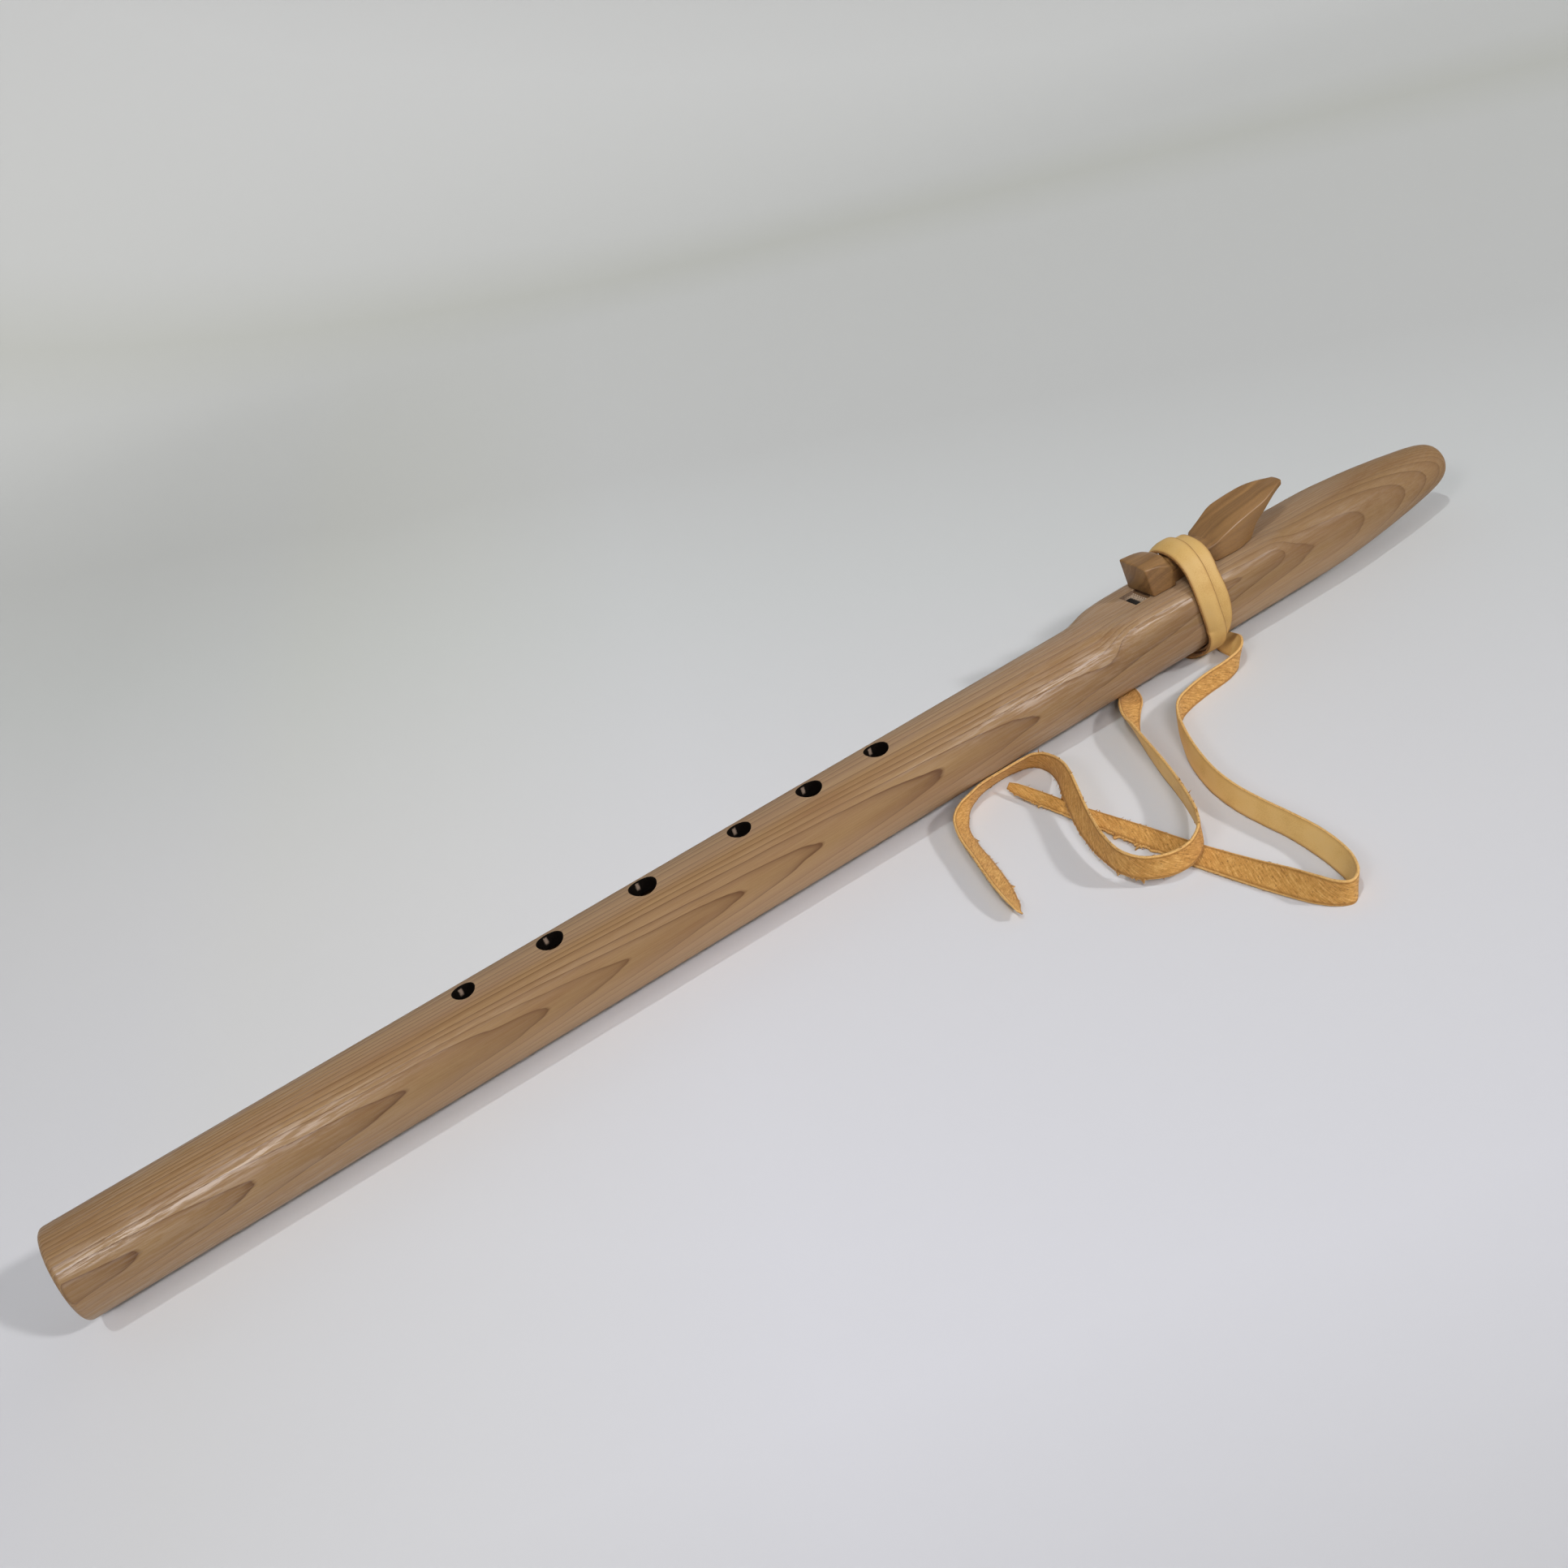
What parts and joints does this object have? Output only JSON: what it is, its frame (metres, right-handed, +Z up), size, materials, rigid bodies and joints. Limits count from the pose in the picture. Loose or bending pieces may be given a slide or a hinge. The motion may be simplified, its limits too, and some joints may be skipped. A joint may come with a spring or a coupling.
{
  "type": "native american flute",
  "caption": "Round wooden flute with tapered mouth end, finger holes, flat nest with sound hole, and a carved saddle block held by a wound flat leather lace with loose ends.",
  "frame": {"origin": "under the middle of the body's length, on the plane through the body's axis, at the height where the lace's lowest face rests on the table", "axes": "+X along the bore from the foot to the mouth end, +Y away from the side on which the lace's ends lie, +Z up through the finger holes"},
  "size_m": [0.5796, 0.1727, 0.0511],
  "materials": {
    "cedar": "oiled, satin",
    "dark_wood": "oiled, satin",
    "lace": "smooth grain side, suede flesh side"
  },
  "bodies": {
    "flute": {"upper_body_half": "cedar", "lower_body_half": "cedar", "lace_winding": "lace", "lace_knot": "lace", "lace_tail_right": "lace", "lace_tail_left": "lace"},
    "block": {"carved_block": "dark_wood"}
  },
  "joints": [
    {"name": "block_slide", "type": "slide", "parent": "flute", "child": "block", "axis": [1, 0, 0], "range_m": [-0.001, 0.0008]}
  ]
}
